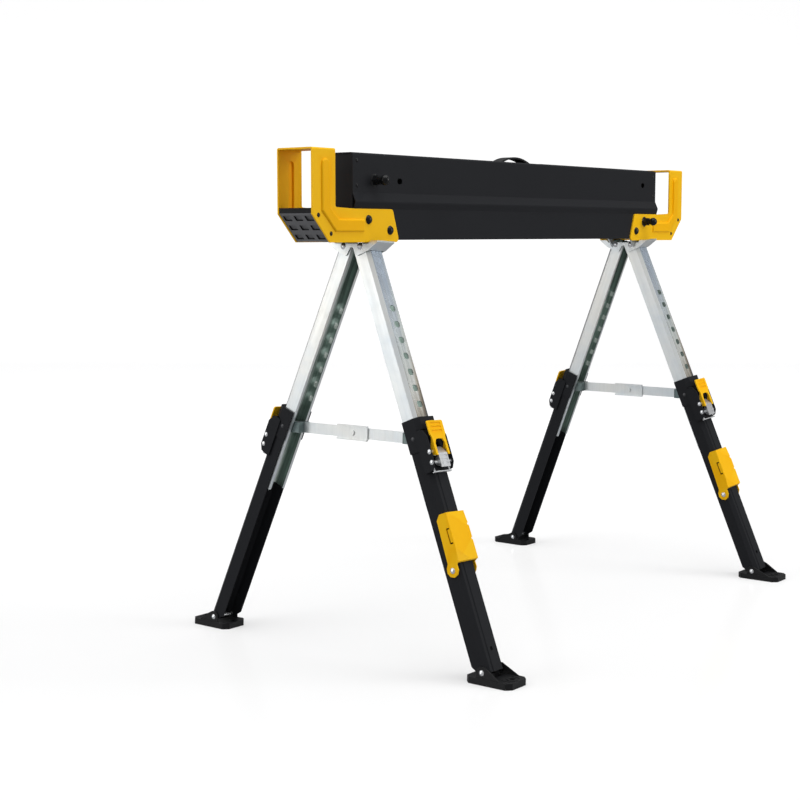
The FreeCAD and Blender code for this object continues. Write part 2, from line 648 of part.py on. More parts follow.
def yoke(name, side, reach, rise):
    """A pressed housing over two leg tops, with a pair of arms that swing on a pin in the rail."""
    body = new_body("yoke")
    outer = [
        ("2.5", "-2"),
        ("9.3", "-13.5"),
        ("11.6", "-14.7"),
        ("33.8", "-5.6"),
        ("50.5", "7"),
        ("50.5", "9"),
        ("37", "9"),
        ("33", "4"),
    ]
    pad(body, outline(body, "YZ", outer + mirrored(outer)), "2 * yoke_half")
    inner = [
        ("33", "-30"),
        ("33", "-5.2"),
        ("33.4", "-3.3"),
        ("49", "8.4"),
        ("49", "12"),
    ]
    pocket(body, outline(body, "YZ", inner + mirrored(inner)), "2 * (yoke_half - yoke_sheet)")
    eye = "9"
    is_far = side > 0
    crest = [("-yoke_half - 9", f"{rise} - 4")] if is_far else []
    knee = [("-yoke_half - 15", "11.5")] if is_far else []
    arm = [
        ("1 - yoke_half", "-6"),
        ("1 - yoke_half", "8.5"),
        *crest,
        (f"12 - {reach}", f"{rise} + {eye} - 1.5"),
        (f"4 - {reach}", f"{rise} + {eye}"),
        (f"-{reach} - 4", f"{rise} + {eye}"),
        (f"-{reach} - {eye}", f"{rise} + 4"),
        (f"-{reach} - {eye}", f"{rise} - 4"),
        (f"-{reach} - 4", f"{rise} - {eye}"),
        (f"6 - {reach}", f"{rise} - {eye}"),
        *knee,
    ]
    for sign in ("", "-"):
        pad(body, outline(body, "XZ", arm, shift=f"{sign}(link_face - 1.5)"), "3")
    pivot = circles(body, "XZ", [(f"-{reach}", rise)], "swing_pin + pin_play")
    pocket(body, pivot, "4 * link_face")
    hinges = circles(body, "YZ", [("hinge_side", "0"), ("-hinge_side", "0")], "hinge_pin")
    pocket(body, hinges, "3 * yoke_half")
    return keep(body, name, end_place(side))


def swing_pins():
    """One pin across the rail at each end, on which a yoke swings."""
    shapes = []
    half = size("lower_face") - 2 * size("rail_wall")
    for side, reach, rise in ((-1, "near_reach", "near_rise"), (1, "far_reach", "far_rise")):
        middle = end_place(side).multVec(Vector(-size(reach), 0, size(rise)))
        place = Placement(middle, Rotation(Vector(0, 0, 1), 90))
        shapes.append(pin_shape(place, size("swing_pin"), -half, half))
    group("swing_pins", shapes)


def headed_pin(place, radius, low, high, head, rise):
    """A pin along X with a domed head on each end that lies on the outer side of the middle plane."""
    solids = [pin_shape(place, radius, low, high)]
    if high > 0:
        solids.append(dome_shape(along(place, high), head, rise, radius / 2, 0.5))
    if low < 0:
        solids.append(dome_shape(along(place, low, turned=True), head, rise, radius / 2, 0.5))
    return solids[0].fuse(solids[1:]).removeSplitter().Solids[0]


def hinge_rivets(name, side):
    """The two rivets of one yoke on which its legs splay."""
    half = size("yoke_half")
    corners = [corner_place(side, face) for face in FACES.values()]
    group(name, [headed_pin(place, size("hinge_pin"), -half, half, 5.2, 2.2) for place in corners])


# ---------------------------------------------------------------- legs


def channel_body(name, outer, inner, start, end):
    """A channel along -Z whose section is given by its right half."""
    body = new_body(name)
    section = outer + mirrored(outer) + mirrored(inner) + inner
    sketch = outline(body, "XY", section, shift=f"-({start})")
    pad(body, sketch, f"{end} - ({start})", both=False, back=True)
    return body


def upper_leg(name, place):
    """A zinc-plated channel, open toward the middle, with a row of height slots in its web."""
    outer = [
        ("upper_half", "-upper_edge_in"),
        ("upper_half", "upper_face_out - 6"),
        ("upper_half - 6", "upper_face_out"),
    ]
    inner = [
        ("upper_half - 6.7", "upper_face_out - upper_wall"),
        ("upper_half - upper_wall", "upper_face_out - 6.7"),
        ("upper_half - upper_wall", "upper_wall - upper_edge_in"),
        ("upper_half - 5", "upper_wall - upper_edge_in"),
        ("upper_half - 5", "-upper_edge_in"),
    ]
    body = channel_body("upper_leg", outer, inner, "-upper_start", "upper_end")
    wide, tall = "slot_wide / 2", "slot_tall / 2"
    corners = box(f"-{wide}", wide, f"-slot_first - {tall}", f"-slot_first + {tall}")
    sketch = outline(body, "XZ", corners, shift="-upper_face_out")
    slot = pocket(body, sketch, "8")
    across, level, half_tall = size("slot_wide") / 2, -size("slot_first"), size("slot_tall") / 2
    rims = [(i * across, level + j * half_tall) for i in (-1, 1) for j in (-1, 1)]
    rounded = soften(body, 1, rims, 3.6)
    row = body.newObject("PartDesign::LinearPattern", "slots")
    row.Originals = [slot, rounded]
    row.Direction = (sketch, ["V_Axis"])
    row.Reversed = True
    row.setExpression("Length", expand("slot_pitch * (slot_count - 1)"))
    row.setExpression("Occurrences", expand("slot_count"))
    body.Tip = row
    doc.recompute()
    pocket(body, circles(body, "YZ", [("0", "0")], "hinge_pin + pin_play"), "3 * upper_half")
    pocket(body, circles(body, "YZ", [("0", "-brace_drop")], "leg_pin"), "3 * upper_half")
    return keep(body, name, place)


def lower_leg(name, place, with_arm):
    """A black channel that slides on the upper leg, with a raised middle along its web."""
    outer = [
        ("lower_half", "-lower_edge_in"),
        ("lower_half", "lower_face_out - 6.5"),
        ("lower_half - 5.5", "lower_face_out"),
        ("web_rib_half + 1.2", "lower_face_out"),
        ("web_rib_half", "lower_face_out + web_rib"),
    ]
    inner = [
        ("web_rib_half - 0.3", "lower_face_out + web_rib - lower_wall"),
        ("web_rib_half + 0.9", "lower_face_out - lower_wall"),
        ("lower_half - 6.2", "lower_face_out - lower_wall"),
        ("lower_half - lower_wall", "lower_face_out - 7.2"),
        ("lower_half - lower_wall", "-lower_edge_in"),
    ]
    body = channel_body("lower_leg", outer, inner, "lower_start", "foot_drop + 9")
    ankle = [
        ("-14.5", "-foot_drop + 15"),
        ("foot_out - 6.3", "-foot_drop - 2"),
        ("foot_out - 3.4", "-foot_drop - 5.6"),
        ("foot_out", "-foot_drop - 6.5"),
        ("foot_out + 3.4", "-foot_drop - 5.6"),
        ("foot_out + 6.3", "-foot_drop - 2"),
        ("30", "-foot_drop - 1.4"),
        ("30", "-foot_drop - 40"),
        ("-14.5", "-foot_drop - 40"),
    ]
    pocket(body, outline(body, "YZ", ankle), "3 * lower_half")
    pins = [("foot_out", "-foot_drop")]
    if with_arm:
        pins.append(("support_out", "-support_drop"))
    pocket(body, circles(body, "YZ", pins, "leg_pin"), "3 * lower_half")
    window = box("-6.5", "6.5", "-lever_drop - 9", "-lever_drop + 9")
    pocket(body, outline(body, "XZ", window, shift="-lower_face_out"), "8")
    hole = circles(body, "XZ", [("0", "30.4 - foot_drop")], "3.2", shift="-lower_face_out")
    pocket(body, hole, "8")
    return keep(body, name, place)


def leg_collar(name, place):
    """The black sleeve pressed round the top of a lower leg."""
    body = new_body("leg_collar")
    rib = "lower_face_out + web_rib"
    outer = [
        ("lower_half + 1.4", "-lower_edge_in - 1.5"),
        ("lower_half + 1.4", "lower_face_out - 5"),
        ("lower_half - 4", f"{rib} + 1.5"),
    ]
    inner = [
        ("lower_half - 4.6", rib),
        ("lower_half", "lower_face_out - 5.4"),
        ("lower_half", "-lower_edge_in - 1.5"),
    ]
    section = outer + mirrored(outer) + mirrored(inner) + inner
    pad(body, outline(body, "XY", section, shift="-lower_start"), "50", both=False, back=True)
    notch = box("8", "40", "-lower_start - 60", "-lower_start - 19")
    pocket(body, outline(body, "YZ", notch), "3 * lower_half")
    pocket(body, circles(body, "YZ", [("-2", "-lower_start - 29")], "1.4"), "3 * lower_half")
    return keep(body, name, place)


def latch_ears(name, place):
    """Two black ears and the web that joins them, riveted over a lower leg."""
    body = new_body("latch_ears")
    rib = "lower_face_out + web_rib"
    side_plate = [
        ("4", "-300"),
        ("14", "-297.5"),
        ("20", "-300"),
        ("26", "-310"),
        ("26", "-352"),
        ("21", "-361"),
        ("12", "-363"),
        ("4", "-363"),
    ]
    pad(body, outline(body, "YZ", side_plate), "2 * (ear_gap + ear_sheet)")
    pocket(body, outline(body, "YZ", box(f"{rib} + 1.7", "40", "-380", "-280")), "2 * ear_gap")
    pocket(body, outline(body, "YZ", box("-9", rib, "-380", "-280")), "2 * ear_gap")
    window = box("-9", "9", "-lever_drop - 11", "-lever_drop + 16")
    pocket(body, outline(body, "XZ", window, shift="-lower_face_out"), "12")
    pins = [("lever_out", "-lever_drop"), ("pawl_out", "-pawl_drop")]
    pocket(body, circles(body, "YZ", pins, "leg_pin"), "3 * ear_gap")
    return keep(body, name, place)


def ribbed(body, half, levels, face, tall, deep):
    """Cuts level grooves into an outer face, which leaves ribs between them."""
    for level in levels:
        groove = box(f"-{half}", f"{half}", f"-{level} - {tall} / 2", f"-{level} + {tall} / 2")
        pocket(body, outline(body, "XZ", groove, shift=f"-{face}"), deep)


def latch_lever(name, place):
    """The yellow thumb lever: a ribbed pad above, an arched window below, and two pivot cheeks."""
    body = new_body("latch_lever")
    plate = [
        ("0", "-288"),
        ("19", "-288"),
        ("19", "-309"),
        ("16.5", "-314"),
        ("16.5", "-341"),
        ("11.8", "-341"),
        ("11.8", "-323"),
        ("8", "-317"),
        ("0", "-316"),
    ]
    sketch = outline(body, "XZ", plate + mirrored(plate)[1:-1], shift="-27")
    pad(body, sketch, "2", both=False, back=True)
    soften(body, 1, [(-19, -288), (19, -288)], 3)
    cheek = [
        ("27.5", "-313"),
        ("27.5", "-341"),
        ("20.5", "-338.8"),
        ("18.3", "-335"),
        ("18.3", "-332"),
        ("22", "-326"),
    ]
    for sign in ("", "-"):
        pad(body, outline(body, "YZ", cheek, shift=f"{sign}15.55"), "1.9")
    pocket(body, circles(body, "YZ", [("lever_out", "-lever_drop")], "leg_pin + pin_play"), "40")
    ribbed(body, "12", (292.5, 298.5, 304.5), "29", "3", "1.8")
    return keep(body, name, place)


def latch_pawl(name, place):
    """The bright pawl under the lever: a ribbed tab, two cheeks and a nose that points at the slots."""
    body = new_body("latch_pawl")
    tab = [
        ("28", "-338"),
        ("28", "-359.5"),
        ("26", "-359.5"),
        ("26", "-339"),
        ("19", "-328.8"),
        ("20.4", "-327"),
    ]
    pad(body, outline(body, "YZ", tab), "22")
    nose = [
        ("13.2", "-330"),
        ("20", "-327.6"),
        ("22.6", "-331.2"),
        ("19", "-336.3"),
        ("13.2", "-336.3"),
    ]
    pad(body, outline(body, "YZ", nose), "9")
    cheek = [
        ("26.5", "-339.5"),
        ("26.5", "-358"),
        ("20", "-354.8"),
        ("17.8", "-352"),
        ("17.8", "-348"),
        ("21", "-344"),
    ]
    for sign in ("", "-"):
        pad(body, outline(body, "YZ", cheek, shift=f"{sign}10"), "2")
    pocket(body, circles(body, "YZ", [("pawl_out", "-pawl_drop")], "leg_pin + pin_play"), "40")
    ribbed(body, "7.5", (342.5, 348.2, 353.9), "28", "2.8", "1.6")
    return keep(body, name, place)


def leg_rivets(name, place, with_arm):
    """The small rivets and pins that a lower leg carries."""
    pin, play = size("leg_pin"), 0.3
    ear = size("ear_gap") + size("ear_sheet")
    collar = size("lower_half") + 1.4

    def at(out, drop):
        return place.multiply(Placement(Vector(0, out, -drop), Rotation()))

    lever = at(size("lever_out"), size("lever_drop"))
    rim = at(-2, 307)
    shapes = [
        headed_pin(lever, pin, -ear, -13.6, 3.6, 1.4),
        headed_pin(lever, pin, 13.6, ear, 3.6, 1.4),
        headed_pin(at(size("pawl_out"), size("pawl_drop")), pin, -ear, ear, 3.6, 1.4),
        dome_shape(along(rim, collar), 3.2, 1.3, 1.4, 0.9),
        dome_shape(along(rim, -collar, turned=True), 3.2, 1.3, 1.4, 0.9),
        headed_pin(at(size("foot_out"), size("foot_drop")), pin, -24.2, 24.2, 4.2, 1.8),
    ]
    if with_arm:
        hinge = at(size("support_out"), size("support_drop"))
        inner, outer = size("lower_half") - size("lower_wall"), size("support_half") + play
        shapes.append(headed_pin(hinge, pin, inner, outer, 4.4, 1.8))
        shapes.append(headed_pin(hinge, pin, -outer, -inner, 4.4, 1.8))
    group(name, shapes)


def support_arm(name, place):
    """The yellow cradle arm: a short channel that lies over the leg and swings out on two ears."""
    body = new_body("support_arm")
    side_plate = [
        ("0.5", "-434"),
        ("7.5", "-426.3"),
        ("18.3", "-426.3"),
        ("18.3", "-500"),
        ("14.2", "-503"),
        ("14.2", "-512"),
        ("10.5", "-518"),
        ("4", "-520.8"),
        ("-2.7", "-518"),
        ("-6.4", "-512"),
        ("-5.4", "-505"),
        ("-1.6", "-499"),
    ]
    pad(body, outline(body, "YZ", side_plate), "2 * support_half")
    inside = box("-20", "16.3", "-540", "-400")
    pocket(body, outline(body, "YZ", inside), "2 * (support_half - support_sheet)")
    hook = [
        ("12.6", "-449"),
        ("16.2", "-449"),
        ("16.2", "-451.2"),
        ("14.8", "-451.2"),
        ("14.8", "-470.8"),
        ("16.2", "-470.8"),
        ("16.2", "-473"),
        ("12.6", "-473"),
    ]
    pocket(body, outline(body, "YZ", hook), "3 * support_half")
    for drop in ("notch_high", "notch_low"):
        notch = box("-support_half - 1", "2.4 - support_half", f"-{drop} - 1.6", f"-{drop} + 1.6")
        pocket(body, outline(body, "XZ", notch, shift="-18.3"), "5")
    pivot = circles(body, "YZ", [("support_out", "-support_drop")], "leg_pin + pin_play")
    pocket(body, pivot, "3 * support_half")
    return keep(body, name, place)


def foot(name, side, face):
    """A swivelling foot: a level pad with clipped corners, two ears and two screw holes."""
    body = new_body("foot")
    outward = side * face
    slope = f"{-outward} * tan(lean * 1 deg)"
    sole = "-pad_drop / cos(lean * 1 deg)"
    section = [
        ("-pad_half", f"{sole} - pad_half * {slope}"),
        ("pad_half", f"{sole} + pad_half * {slope}"),
        ("pad_half", f"{sole} + pad_thick + pad_half * {slope}"),
        ("-pad_half", f"{sole} + pad_thick - pad_half * {slope}"),
    ]
    pad(body, outline(body, "XZ", section, shift="pad_in"), "pad_in + pad_out", both=False, back=True)
    half, start, end = size("pad_half"), -size("pad_in"), size("pad_out")
    soften(body, 2, [(i * half, y) for i in (-1, 1) for y in (start, end)], 8, chamfer=True)
    for sign, tail in ((1, "38" if outward < 0 else "30"), (-1, "38" if outward > 0 else "30")):
        ear = [
            ("-9", "-11"),
            ("-9", "4.5"),
            ("-4.5", "9"),
            ("4", "9"),
            ("9", "6.5"),
            (tail, "-7.5"),
            (tail, "-11"),
        ]
        pad(body, outline(body, "YZ", ear, shift=f"{sign * 22.9}"), "2")
    pocket(body, circles(body, "YZ", [("0", "0")], "leg_pin + pin_play"), "3 * pad_half")
    relief = box("-12", "12", "-8.4", "-2")
    pocket(body, outline(body, "YZ", relief), "43")
    pocket(body, circles(body, "XY", [("0", "37")], "4", shift="-pad_drop"), "60")
    pocket(body, circles(body, "XY", [("0", "-21")], "3", shift="-pad_drop"), "60")
    return keep(body, name, in_leg(side, face, size("foot_out"), size("foot_drop")))


# ---------------------------------------------------------------- braces


def brace_link(name, place, with_sleeve):
    """One half of a folding brace, level at rest; the front half carries the sleeve of the middle joint."""
    body = new_body("brace_link")
    reach = "(hinge_side + brace_drop * sin(splay * 1 deg))"
    half = "bar_tall / 2"
    bar = [
        ("0", f"-{half}"),
        ("4.5", "-6.5"),
        ("6.5", "0"),
        ("4.5", "6.5"),
        ("0", half),
        (f"-{reach} - 3", half),
        (f"-{reach} - 8.5", "4"),
        (f"-{reach} - 8.5", "-4"),
        (f"-{reach} - 3", f"-{half}"),
    ]
    pad(body, outline(body, "YZ", bar, shift="bar_gap"), "bar_sheet", both=False)
    pad(body, circles(body, "YZ", [("0", "0")], "5.5"), "24")
    pocket(body, circles(body, "YZ", [("0", "0")], "leg_pin + pin_play"), "40")
    if with_sleeve:
        start = "bar_gap + bar_sheet"
        plate = box(f"-{reach} - 30", f"-{reach} + 30", "-11.5", "11.5")
        pad(body, outline(body, "YZ", plate, shift=start), "bar_sheet", both=False)
        for low, high in (("-11.5", "-9.5"), ("9.5", "11.5")):
            lip = box(f"-{reach} - 30", f"-{reach} + 30", low, high)
            pad(body, outline(body, "YZ", lip, shift=start), "5", both=False)
        pad(body, circles(body, "YZ", [(f"-{reach}", "0")], "4.5", shift=start), "4.6", both=False)
    return keep(body, name, place)


def brace_pin(name, place):
    """The pin inside an upper leg on which a brace link turns."""
    pin = doc.addObject("Part::Cylinder", "brace_pin")
    pin.setExpression("Radius", expand("leg_pin"))
    pin.setExpression("Height", expand("2 * upper_half - 0.2"))
    base = Placement(Vector(0.1 - size("upper_half"), 0, 0), Rotation(Vector(0, 1, 0), 90))
    return keep(pin, name, place.multiply(base))


# ---------------------------------------------------------------- assembly

top_rail()
carry_handle()
rail_fasteners()
plungers()
swing_pins()
for label, side in SIDES.items():
    rail_end_plate(f"rail_end_plate_{label}", side)
    end_bracket(f"end_bracket_{label}", side)
    end_pad(f"end_pad_{label}", side)
    hinge_rivets(f"leg_hinge_rivets_{label}", side)
yoke("yoke_left", -1, "near_reach", "near_rise")
yoke("yoke_right", 1, "far_reach", "far_rise")
for end, side in SIDES.items():
    for row, face in FACES.items():
        corner = f"{row}_{end}"
        leg = leg_place(side, face)
        is_front = face < 0
        upper_leg(f"upper_leg_{corner}", leg)
        lower_leg(f"lower_leg_{corner}", leg, is_front)
        leg_collar(f"leg_collar_{corner}", leg)
        latch_ears(f"latch_ears_{corner}", leg)
        latch_lever(f"latch_lever_{corner}", leg)
        latch_pawl(f"latch_pawl_{corner}", leg)
        leg_rivets(f"leg_rivets_{corner}", leg, is_front)
        foot(f"foot_{corner}", side, face)
        brace_link(f"brace_link_{corner}", in_leg(side, face, 0, size("brace_drop")), is_front)
        brace_pin(f"brace_pin_{corner}", in_leg(side, face, 0, size("brace_drop")))
        if is_front:
            support_arm(f"support_arm_{end}", leg)

doc.recompute()
for piece in doc.Objects:
    if "Invalid" in piece.State or "Error" in piece.State:
        raise ValueError(f"{piece.Name} ({piece.Label}) is {piece.State}")
os.makedirs("parts", exist_ok=True)
for piece in PARTS:
    if piece.Shape.isNull() or not piece.Shape.isValid():
        raise ValueError(f"{piece.Label} has no valid shape")
    piece.Shape.exportStep(f"parts/{piece.Label}.step")
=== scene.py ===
"""Looks of the folding steel sawhorse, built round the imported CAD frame.  Lengths are in metres.

The frame: X along the rail, Y across it (the front is -Y), Z up, and its origin on the floor
under the rail's middle.
"""
import json
import math

import bmesh
import bpy
from mathutils import Matrix, Vector


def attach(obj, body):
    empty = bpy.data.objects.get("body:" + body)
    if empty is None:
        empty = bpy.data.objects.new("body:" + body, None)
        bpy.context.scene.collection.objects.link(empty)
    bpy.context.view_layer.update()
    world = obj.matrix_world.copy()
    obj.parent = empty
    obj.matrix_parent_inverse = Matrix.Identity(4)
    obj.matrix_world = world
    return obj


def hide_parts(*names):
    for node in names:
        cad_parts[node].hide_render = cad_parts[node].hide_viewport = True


MM = 0.001
SIDES = {"left": -1, "right": 1}
FACES = {"front": -1, "rear": 1}
CORNERS = {
    f"{row}_{end}": (side, face)
    for end, side in SIDES.items()
    for row, face in FACES.items()
}

LEAN = math.radians(3)
SPLAY = math.radians(22.2)
HINGE = Vector((409, 16.6, 628)) * MM
BRACE_DROP = 309 * MM
FOOT_DROP = 663 * MM
FOOT_OUT = 4 * MM

# An upper leg's section and its height slots, in millimetres of the leg's own frame.
SLOT_FIRST = 104.7
SLOT_PITCH = 25.4
SLOTS_WITH_PAINTED_REFLECTION = 6.6
WEB_FACE = 11.2
INSIDE_HALF = 17.3
INSIDE_OUT = 10.9
INSIDE_EDGE = -14.7
INSIDE_FOLD = 24.0
COLLAR_RIVETS_OVER = 335

EDGE = 0.35 * MM
PLATE_EDGE = 0.4 * MM
RING_EDGE = 0.3 * MM
FOOT_EDGE = 2.2 * MM
WELD = 1e-6

CAMERA_PLACE = Vector((-2.2647, -1.5345, 0.6485))
CAMERA_YAW = 38.135
CAMERA_DIP = 6.095
CAMERA_LENS = 70.25

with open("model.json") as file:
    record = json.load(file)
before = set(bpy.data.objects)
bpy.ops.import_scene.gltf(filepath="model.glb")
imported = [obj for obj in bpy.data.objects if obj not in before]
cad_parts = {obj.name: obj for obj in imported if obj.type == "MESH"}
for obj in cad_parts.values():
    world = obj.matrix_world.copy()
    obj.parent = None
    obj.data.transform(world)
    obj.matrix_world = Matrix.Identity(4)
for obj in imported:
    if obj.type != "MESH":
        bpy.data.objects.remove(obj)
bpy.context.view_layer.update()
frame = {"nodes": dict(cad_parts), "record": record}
nodes = frame["nodes"]
bodies = frame["record"]["behaviour"]["bodies"]
node_body = {name: body for body, names in bodies.items() for name in names}


# ---------------------------------------------------------------- places


def corner_matrix(side, face):
    """A leg's hinge, before it splays: +Y outward, leaning with the pair."""
    spot = Vector((side * HINGE.x, face * HINGE.y, HINGE.z))
    turn = Matrix.Rotation(-side * LEAN, 4, "Y")
    if face < 0:
        turn = turn @ Matrix.Rotation(math.pi, 4, "Z")
    return Matrix.Translation(spot) @ turn


def leg_matrix(side, face):
    """A leg's own frame: -Z down the leg, +Y outward, X across it."""
    return corner_matrix(side, face) @ Matrix.Rotation(SPLAY, 4, "X")


def in_leg(side, face, out, drop):
    """A point of a leg, turned back upright."""
    spot = Matrix.Translation((0, out, -drop))
    return leg_matrix(side, face) @ spot @ Matrix.Rotation(-SPLAY, 4, "X")


def end_matrix(side):
    """The middle of a yoke, +X outward, leaning with the legs."""
    turn = Matrix.Rotation(-side * LEAN, 4, "Y")
    if side < 0:
        turn = turn @ Matrix.Rotation(math.pi, 4, "Z")
    return Matrix.Translation((side * HINGE.x, 0, HINGE.z)) @ turn


# ---------------------------------------------------------------- material tools


RANGE_INPUTS = ("From Min", "From Max", "To Min", "To Max")


class Graph:
    """A material's node tree, with short names for the nodes that the finishes share."""

    def __init__(self, name, local=None):
        self.material = bpy.data.materials.new(name)
        self.material.use_nodes = True
        self.tree = self.material.node_tree
        self.shader = self.tree.nodes["Principled BSDF"]
        self.place = self.add("ShaderNodeTexCoord").outputs["Object"]
        if local is not None:
            node = self.add("ShaderNodeMapping", vector_type="TEXTURE")
            node.inputs["Location"].default_value = local.to_translation()
            node.inputs["Rotation"].default_value = local.to_euler("XYZ")
            self.join(self.place, node.inputs["Vector"])
            self.place = node.outputs["Vector"]

    def add(self, kind, **values):
        """A new node, with its own settings."""
        node = self.tree.nodes.new(kind)
        for key, value in values.items():
            setattr(node, key, value)
        return node

    def join(self, source, target):
        self.tree.links.new(source, target)

    def feed(self, value, socket):
        """Gives a socket a link, a colour or a number."""
        if isinstance(value, bpy.types.NodeSocket):
            self.join(value, socket)
        elif isinstance(value, tuple):
            socket.default_value = value if len(value) == 4 else (*value, 1)
        else:
            socket.default_value = value

    def parts(self):
        """The three coordinates, in millimetres."""
        node = self.add("ShaderNodeSeparateXYZ")
        self.join(self.place, node.inputs["Vector"])
        return [self.math(node.outputs[axis], 1000, "MULTIPLY") for axis in "XYZ"]

    def stretched(self, scale):
        """The coordinates scaled by a number for each axis."""
        node = self.add("ShaderNodeMapping")
        node.inputs["Scale"].default_value = scale
        self.join(self.place, node.inputs["Vector"])
        return node.outputs["Vector"]

    def noise(self, scale, detail, rough, place=None, twist=0.0):
        node = self.add("ShaderNodeTexNoise")
        node.inputs["Scale"].default_value = scale
        node.inputs["Detail"].default_value = detail
        node.inputs["Roughness"].default_value = rough
        node.inputs["Distortion"].default_value = twist
        self.join(place or self.place, node.inputs["Vector"])
        return node.outputs["Fac"]

    def ramp(self, source, stops):
        """Colours by position: stops are (position, colour) pairs."""
        node = self.add("ShaderNodeValToRGB")
        band = node.color_ramp
        while len(band.elements) < len(stops):
            band.elements.new(0.5)
        for element, (position, colour) in zip(band.elements, stops):
            element.position = position
            element.color = (*colour, 1)
        self.join(source, node.inputs["Fac"])
        return node.outputs["Color"]

    def span(self, source, low, high, start=0.0, end=1.0):
        """Source between low and high, spread over start to end."""
        node = self.add("ShaderNodeMapRange")
        for key, value in zip(RANGE_INPUTS, (low, high, start, end)):
            node.inputs[key].default_value = value
        self.join(source, node.inputs["Value"])
        return node.outputs["Result"]

    def blend(self, share, first, second):
        """The first colour turning into the second as the share rises."""
        node = self.add("ShaderNodeMix", data_type="RGBA")
        for socket, value in zip(("Factor", "A", "B"), (share, first, second)):
            self.feed(value, [s for s in node.inputs if s.name == socket and s.enabled][0])
        return [s for s in node.outputs if s.enabled][0]

    def math(self, first, second, kind="ADD"):
        node = self.add("ShaderNodeMath", operation=kind)
        self.feed(first, node.inputs[0])
        self.feed(second, node.inputs[1])
        return node.outputs["Value"]

    def inside(self, value, low, high):
        """One where the value lies between two limits."""
        over = self.math(value, low, "GREATER_THAN")
        return self.math(over, self.math(value, high, "LESS_THAN"), "MULTIPLY")

    def size_of(self, value):
        """The value without its sign."""
        return self.math(value, 0, "ABSOLUTE")

    def both(self, *masks):
        """One where all the masks are one."""
        first, *others = masks
        for mask in others:
            first = self.math(first, mask, "MULTIPLY")
        return first

    def rims(self):
        """One on sharp outer edges, none elsewhere."""
        return self.span(self.add("ShaderNodeNewGeometry").outputs["Pointiness"], 0.5, 0.56)

    def bump(self, height, strength, distance):
        node = self.add("ShaderNodeBump")
        node.inputs["Strength"].default_value = strength
        node.inputs["Distance"].default_value = distance
        self.join(height, node.inputs["Height"])
        self.join(node.outputs["Normal"], self.shader.inputs["Normal"])


def scaled(colour, share):
    return tuple(channel * share for channel in colour)


def powder_coat(name, base, worn, rough, shade, specular):
    """Sprayed powder: faint orange peel, slightly uneven gloss, dulled scuffs and paler rims."""
    g = Graph(name)
    cloud = g.noise(9, 5, 0.6)
    peel = g.noise(900, 2, 0.5)
    scuff = g.noise(60, 8, 0.75, g.stretched((1, 1, 0.25)), 0.6)
    tone = g.blend(g.span(cloud, 0.35, 0.65), scaled(base, shade), base)
    tone = g.blend(g.span(scuff, 0.68, 0.80, 0, 0.22), tone, worn)
    tone = g.blend(g.math(g.rims(), 0.4, "MULTIPLY"), tone, worn)
    g.join(tone, g.shader.inputs["Base Color"])
    uneven = g.span(cloud, 0.3, 0.7, rough - 0.05, rough + 0.06)
    g.join(g.math(uneven, g.span(scuff, 0.6, 0.8, 0, 0.1)), g.shader.inputs["Roughness"])
    g.shader.inputs["Specular IOR Level"].default_value = specular
    g.bump(peel, 0.15, 0.0004)
    return g


def plated(name, base, cool, warm, rough, metal, local=None):
    """Zinc plate: drawn lines along Z, soft bluish and straw tints, a few dull spots."""
    g = Graph(name, local)
    g.tint = g.noise(7, 4, 0.6, None, 0.8)
    g.drawn = g.noise(240, 3, 0.6, g.stretched((1, 1, 0.04)))
    spots = g.noise(48, 6, 0.7)
    tone = g.ramp(g.tint, [(0.30, cool), (0.5, base), (0.72, warm)])
    tone = g.blend(g.span(g.drawn, 0.35, 0.7, 0, 0.2), tone, scaled(base, 0.74))
    g.tone = g.blend(g.span(spots, 0.6, 0.75, 0, 0.25), tone, scaled(base, 0.8))
    g.join(g.tone, g.shader.inputs["Base Color"])
    g.shader.inputs["Metallic"].default_value = metal
    lines = g.span(g.drawn, 0.3, 0.7, rough - 0.04, rough + 0.05)
    g.gloss = g.math(lines, g.span(spots, 0.5, 0.75, 0, 0.12))
    g.join(g.gloss, g.shader.inputs["Roughness"])
    g.bump(g.drawn, 0.06, 0.0003)
    return g


def moulding(name, base, rough, grain):
    """Moulded plastic or rubber: a fine spark-eroded grain and a little dust in it."""
    g = Graph(name)
    cloud = g.noise(14, 5, 0.65)
    dust = tuple(c * 1.7 + 0.006 for c in base)
    g.tone = g.blend(g.span(cloud, 0.45, 0.75, 0, 0.45), base, dust)
    g.tone = g.blend(g.math(g.rims(), 0.45, "MULTIPLY"), g.tone, dust)
    g.join(g.tone, g.shader.inputs["Base Color"])
    g.join(g.span(cloud, 0.3, 0.7, rough - 0.06, rough + 0.06), g.shader.inputs["Roughness"])
    g.shader.inputs["Specular IOR Level"].default_value = 0.2
    g.bump(g.noise(grain, 2, 0.5), 0.22, 0.0004)
    return g


ZINC = (0.80, 0.825, 0.82)
ZINC_COOL = (0.70, 0.76, 0.80)
ZINC_WARM = (0.86, 0.85, 0.80)
ZINC_TONES = (ZINC, ZINC_COOL, ZINC_WARM)
# Painted shade: zinc darkened to stand for the shade inside the upper legs and under the yokes' roofs.
PAINTED_SHADE_ZINC = (0.230, 0.305, 0.272)
LINE_SHADE = (0.30, 0.31, 0.32)
# Painted highlight: pale streaks inside an upper leg along the corner by the web.
PAINTED_CORNER_HIGHLIGHT = (0.90, 0.94, 0.90)
# Painted reflection: the colour of the pale squares beside the upper slots.
PAINTED_SLOT_REFLECTION = (0.95, 1.0, 0.96)
# Colours down an upper leg's web, from cool high up to tan and near black towards its lower end.
WEB_BANDS = [
    (0.00, (0.52, 0.61, 0.72)),
    (0.22, (0.66, 0.74, 0.80)),
    (0.40, (0.80, 0.86, 0.84)),
    (0.58, (0.84, 0.85, 0.80)),
    (0.70, (0.52, 0.47, 0.38)),
    (0.80, (0.26, 0.21, 0.15)),
    (0.90, (0.12, 0.115, 0.105)),
]
BLACK = (0.0042, 0.0044, 0.0054)
BLACK_WORN = (0.045, 0.047, 0.052)
YELLOW = (0.995, 0.500, 0.002)
YELLOW_WORN = (1.0, 0.640, 0.020)


